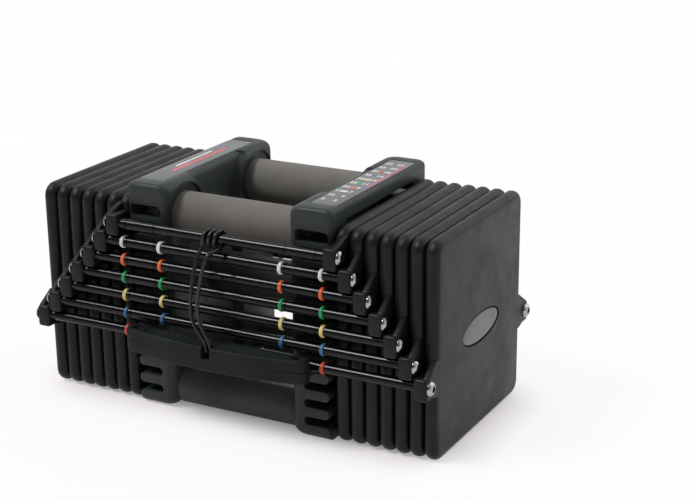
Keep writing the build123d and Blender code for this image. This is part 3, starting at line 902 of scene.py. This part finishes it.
def make_badges():
    """Bare oval badges in the outer plates, crowned, with painted shade on the floor of the groove round
    them.
    """
    low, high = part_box("oval_badges")
    middle_z = (low.z + high.z) / 2
    half_y, half_z = (high.y - low.y) / 2, (high.z - low.z) / 2
    face = high.x - BADGE_DOME
    back = high.x - BADGE_THICKNESS
    bed = face - BADGE_GROOVE

    def ring(side, inset, x):
        wide, tall = half_y - inset, half_z - inset
        return [(side * x, middle_y + wide * cos(a), middle_z + tall * sin(a)) for a in turns(BADGE_SIDES)]

    crown = [(BADGE_RING, bed), (BADGE_RING, face)]
    crown += [(inset, face + BADGE_DOME * share) for inset, share in BADGE_CROWN] + [(BADGE_FLAT, high.x)]
    skins = [stack([ring(side, inset, x) for inset, x in crown]) for side in SIDES.values()]
    # Painted shade: a dark ring on the floor of the groove round each badge
    groove_shade_rings = [stack([ring(side, 0, back), ring(side, 0, bed)]) for side in SIDES.values()]
    made = make_object("oval_badges_look", gathered(skins))
    dress(made, BADGE_FINISH, ["oval_badges"], smooth=30)
    # The painted shade in the grooves, as one object
    groove_shade = make_object("oval_badge_groove_shade_look", gathered(groove_shade_rings))
    dress(groove_shade, RECESS_SHADE_FINISH, ["oval_badges"], smooth=30)


def make_sleeve(node, finish, end_round):
    """A round sleeve or bar along X with softened ends."""
    low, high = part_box(node)
    radius = (high.z - low.z) / 2
    y, z = (low.y + high.y) / 2, (low.z + high.z) / 2
    half = []
    for turn in quarter_turn(END_STEPS):
        half.append((high.x - end_round * (1 - sin(turn)), radius - end_round * (1 - cos(turn))))
    profile = [(-x, r) for x, r in reversed(half)] + half
    made = make_object(node + "_look", turned(profile, y, z, SLEEVE_SIDES))
    return dress(made, finish, [node])


def pin_front(x):
    """Front of the pin's handle at a place along it: bowed, with round ends."""
    low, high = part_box("pin_lower_shell")
    half = high.x - PIN_END_TRIM
    corner = max(0.0, abs(x) - (half - PIN_CORNER))
    bow = PIN_BOW * (x / half) ** 2
    return low.y + bow + PIN_CORNER - sqrt(max(0.0, PIN_CORNER**2 - corner**2))


def pin_ring(z, inset):
    """Plan of the pin's handle at a height: flat behind, bowed in front."""
    low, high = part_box("pin_lower_shell")
    half, rear = high.x - PIN_END_TRIM, high.y
    points = []
    for turn in quarter_turn(PIN_EDGE_STEPS):
        points.append((half - PIN_EDGE * (1 - cos(turn)), rear - PIN_EDGE * (1 - sin(turn))))
    points += [(-x, y) for x, y in reversed(points)]
    for step in range(PIN_FRONT_STEPS + 1):
        x = -half * cos(pi * step / PIN_FRONT_STEPS)
        points.append((x, pin_front(x)))
    middle = (rear + pin_front(half)) / 2
    shrink_x = 1 - inset / half
    return [(x * shrink_x, y - inset if y > middle else y + inset, z) for x, y in points]


def pin_shell(name, low_z, high_z, edge_up):
    """Half of the handle, round at its outer edge and barely broken at the seam."""
    rings = [(PIN_EDGE * (1 - cos(a)), PIN_EDGE * (1 - sin(a))) for a in quarter_turn(PIN_EDGE_STEPS)]
    if edge_up:
        heights = [(low_z, PIN_SEAM), (low_z + PIN_SEAM, 0)]
        heights += [(high_z - rise, inset) for rise, inset in reversed(rings)]
    else:
        heights = [(low_z + rise, inset) for rise, inset in rings]
        heights += [(high_z - PIN_SEAM, 0), (high_z, PIN_SEAM)]
    return make_object(name, stack([pin_ring(z, inset) for z, inset in heights]))


def make_pin():
    """The handle of the pin, with the tether's notch, a sunk panel and dimples over its screws."""
    low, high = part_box("pin_lower_shell")
    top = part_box("pin_upper_shell")[1].z
    upper = pin_shell("pin_upper_shell_look", PIN_SPLIT, top, True)
    notch = rounded_rectangle(NOTCH_WIDTH / 2, NOTCH_DEPTH, NOTCH_WIDTH / 2 * NOTCH_CORNER)
    notch = [(a, low.y + b) for a, b in notch]
    combine(upper, prism(notch, PIN_SPLIT - OVERRUN, top + OVERRUN, "Z"), "DIFFERENCE")
    panel_y = high.y - PIN_DEPTH / 2
    places = [PIN_PANEL_LENGTH * (step / PIN_PANEL_STEPS - 0.5) for step in range(PIN_PANEL_STEPS + 1)]
    panel = [(x, pin_front(x) + PIN_PANEL_RIM) for x in places]
    panel += [(x, high.y - PIN_PANEL_RIM) for x in reversed(places)]
    combine(upper, prism(panel, top - PIN_PANEL_DEPTH, top + MM, "Z"), "DIFFERENCE")
    prong_low, prong_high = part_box("right_prong")
    screw_x = (prong_low.x + prong_high.x) / 2
    for side in SIDES.values():
        circle = [(DIMPLE_RADIUS * cos(a), DIMPLE_RADIUS * sin(a)) for a in turns(DIMPLE_SIDES)]
        dimple = [(side * screw_x + a, panel_y + b) for a, b in circle]
        combine(upper, prism(dimple, top - DIMPLE_DEPTH, top + MM, "Z"), "DIFFERENCE")
    soften(upper, PIN_BREAK, segments=2, angle=50)
    lower = pin_shell("pin_lower_shell_look", low.z, PIN_SPLIT, False)
    dress(upper, PIN_FINISH, ["pin_upper_shell"], "selector_pin")
    dress(lower, PIN_FINISH, ["pin_lower_shell"], "selector_pin")


def cord_route():
    """Control points of the tether: up the left strand, round the rail and down the right strand."""
    rail_y, rail_z = rail_place("core", "front")

    def wrap(turn):
        x = WRAP_START + WRAP_PITCH * turn / (2 * pi)
        return Vector((x, rail_y - WRAP_RADIUS * cos(turn), rail_z + WRAP_RADIUS * sin(turn)))

    def strand(points):
        return [Vector((x * MM, y * MM + middle_y, z * MM)) for x, y, z in points]

    last = WRAP_QUARTERS * pi / 2
    lead = CORD_DIAMETER + STRAND_LEAD
    down = (wrap(0) - wrap(WRAP_NUDGE)).normalized()
    forward = (wrap(last) - wrap(last - WRAP_NUDGE)).normalized()
    steps = range(WRAP_QUARTERS * POINTS_PER_QUARTER + 1)
    winding = [wrap(step * pi / 2 / POINTS_PER_QUARTER) for step in steps]
    left = strand(LEFT_STRAND)[::-1] + [wrap(0) + down * lead, wrap(0) + down * CORD_DIAMETER]
    right = [wrap(last) + forward * CORD_DIAMETER, wrap(last) + forward * lead] + strand(RIGHT_STRAND)
    return left + winding + right


def spline_points(route):
    """Points of a smooth curve through control points, read from the curve itself."""
    curve = bpy.data.curves.new("route", "CURVE")
    curve.dimensions = "3D"
    curve.resolution_u = CORD_RESOLUTION
    spline = curve.splines.new("NURBS")
    spline.points.add(len(route) - 1)
    for point, place in zip(spline.points, route):
        point.co = (*place, 1)
    spline.order_u = 3
    spline.use_endpoint_u = True
    guide = bpy.data.objects.new("route", curve)
    bpy.context.scene.collection.objects.link(guide)
    bpy.context.view_layer.update()
    mesh = bpy.data.meshes.new_from_object(guide)
    points = [vertex.co.copy() for vertex in mesh.vertices]
    bpy.data.objects.remove(guide)
    return points


def tube_skin(points, radius):
    """Skin of a cord along points, without twist."""
    across = None
    rings = []
    for index, point in enumerate(points):
        ahead = (points[min(index + 1, len(points) - 1)] - points[max(index - 1, 0)]).normalized()
        across = (across - ahead * across.dot(ahead) if across else ahead.orthogonal()).normalized()
        other = ahead.cross(across)
        rings.append([point + (across * cos(a) + other * sin(a)) * radius for a in turns(CORD_SIDES)])
    return stack(rings)


def make_tether():
    """The tether as one cord: up one strand, round the rail and down the other."""
    points = spline_points(cord_route())
    made = make_object("tether_look", tube_skin(points, CORD_DIAMETER / 2))
    made.data.shade_smooth()
    made.data.materials.append(CORD_FINISH)
    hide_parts("tether_wraps", "tether_strands")
    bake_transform(made)


def paint(node, finish):
    """A CAD node that shows as it is, under its finish."""
    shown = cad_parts[node]
    shown.data.materials.clear()
    shown.data.materials.append(finish)


def make_object_pieces():
    """Every piece of the dumbbell."""
    for group in GROUPS:
        for side_name in SIDES:
            make_plate(group, side_name)
        for place in PLACES:
            make_rail(group, place)
    for colour in COLOURS:
        make_bands(colour)
    make_screws()
    make_blocks()
    for place in PLACES:
        make_sleeve(f"upper_{place}_sleeve", FOAM_FINISH, SLEEVE_END)
        make_sleeve(f"lower_{place}_bar", BAR_FINISH, BAR_END)
        paint(f"upper_{place}_tube", STEEL_FINISH)
        paint(f"{place}_adder_weight", STEEL_FINISH)
    make_sleeve("grip_sleeve", GRIP_FINISH, SLEEVE_END)
    paint("grip_bar", STEEL_FINISH)
    make_pin()
    paint("right_prong", STEEL_FINISH)
    paint("left_prong", STEEL_FINISH)
    paint("pin_screws", SCREW_FINISH)
    make_badges()
    make_panel("label_panel")
    make_label()
    make_panel("weight_chart_panel")
    make_chart()
    make_tether()


# Studio

def add_camera():
    """The camera at the photograph's viewing angle."""
    data = bpy.data.cameras.new("camera")
    data.sensor_width = SENSOR_WIDTH
    data.lens = CAMERA_LENS
    camera = bpy.data.objects.new("camera", data)
    bpy.context.scene.collection.objects.link(camera)
    flat = cos(CAMERA_ELEVATION)
    back = Vector((sin(CAMERA_AZIMUTH) * flat, -cos(CAMERA_AZIMUTH) * flat, sin(CAMERA_ELEVATION)))
    target = Vector((CAMERA_TARGET_X, middle_y, CAMERA_TARGET_Z))
    place = target + back * CAMERA_DISTANCE
    turn = back.to_track_quat("Z", "Y").to_matrix().to_4x4() @ Matrix.Rotation(CAMERA_ROLL, 4, "Z")
    camera.matrix_world = Matrix.Translation(place) @ turn
    bpy.context.scene.camera = camera


def add_sun(name, towards, strength, spread):
    """A broad soft light from one way, even over the whole floor."""
    data = bpy.data.lights.new(name, "SUN")
    data.energy = strength
    data.angle = spread
    lamp = bpy.data.objects.new(name, data)
    bpy.context.scene.collection.objects.link(lamp)
    lamp.rotation_mode = "QUATERNION"
    lamp.rotation_quaternion = Vector(towards).to_track_quat("Z", "Y")


def away_from_object(finish):
    """A share that grows over the floor from nothing under the plates to the full glow some way off."""
    def vector(operation, first, second):
        made = finish.node("ShaderNodeVectorMath", operation=operation)
        finish.link(first, made.inputs[0])
        made.inputs[1].default_value = second
        return made.outputs["Vector"]

    middle = vector("SUBTRACT", finish.place, (0, middle_y, 0))
    across = finish.node("ShaderNodeVectorMath", operation="ABSOLUTE")
    finish.link(middle, across.inputs[0])
    dark_half = (cad_high.x - GLOW_INSET, PLATE_DEPTH / 2 - GLOW_INSET, 0)
    beyond = vector("SUBTRACT", across.outputs["Vector"], dark_half)
    outside = vector("MAXIMUM", beyond, (0, 0, 0))
    length = finish.node("ShaderNodeVectorMath", operation="LENGTH")
    finish.link(outside, length.inputs[0])
    level = finish.node("ShaderNodeMapRange", interpolation_type="SMOOTHSTEP")
    level.inputs["From Max"].default_value = GLOW_REACH
    level.inputs["To Max"].default_value = FLOOR_GLOW
    finish.link(length.outputs["Value"], level.inputs["Value"])
    return level.outputs["Result"]


def add_floor():
    """A pale floor that keeps the shadow and fades to the white of the studio."""
    finish = Finish("floor")
    finish.colours(finish.noise(FLOOR_SCALE, detail=2), tone(240, 228, 226), tone(244, 233, 231))
    finish.set(Roughness=FLOOR_ROUGHNESS)
    rays = finish.node("ShaderNodeLightPath").outputs
    seen = finish.node("ShaderNodeMath", operation="MAXIMUM")
    finish.link(rays["Is Camera Ray"], seen.inputs[0])
    finish.link(rays["Is Glossy Ray"], seen.inputs[1])
    share = finish.node("ShaderNodeMath", operation="MULTIPLY")
    finish.link(away_from_object(finish), share.inputs[0])
    finish.link(seen.outputs[0], share.inputs[1])
    glow = finish.node("ShaderNodeEmission")
    mix = finish.node("ShaderNodeMixShader")
    finish.link(share.outputs[0], mix.inputs["Fac"])
    finish.link(finish.shader.outputs[0], mix.inputs[1])
    finish.link(glow.outputs[0], mix.inputs[2])
    finish.link(mix.outputs[0], finish.tree.nodes["Material Output"].inputs["Surface"])
    corners = [(a, b, 0) for a, b in box_outline(-FLOOR_SPAN, FLOOR_SPAN, -FLOOR_SPAN, FLOOR_SPAN)]
    floor = make_object("floor", (corners, [(0, 1, 2, 3)]))
    floor.data.materials.append(finish.material)


def add_world():
    """An even white studio, darker on the side of the viewer."""
    world = bpy.data.worlds.new("studio")
    world.use_nodes = True
    bpy.context.scene.world = world
    tree = world.node_tree
    ways = tree.nodes.new("ShaderNodeTexCoord")
    split = tree.nodes.new("ShaderNodeSeparateXYZ")
    level = tree.nodes.new("ShaderNodeMapRange")
    level.interpolation_type = "SMOOTHSTEP"
    level.inputs["From Min"].default_value = WORLD_FADE[0]
    level.inputs["From Max"].default_value = WORLD_FADE[1]
    level.inputs["To Min"].default_value = WORLD_FRONT
    level.inputs["To Max"].default_value = WORLD_BACK
    tree.nodes["Background"].inputs["Color"].default_value = (1, 1, 1, 1)
    tree.links.new(ways.outputs["Generated"], split.inputs["Vector"])
    tree.links.new(split.outputs["Y"], level.inputs["Value"])
    tree.links.new(level.outputs["Result"], tree.nodes["Background"].inputs["Strength"])


def add_studio():
    """Camera, floor, world and lamps."""
    add_camera()
    add_floor()
    add_world()
    add_sun("key", *KEY_SUN)
    add_sun("back", *BACK_SUN)
    bpy.context.scene.view_settings.view_transform = "Standard"


make_object_pieces()
add_studio()
bpy.context.view_layer.update()
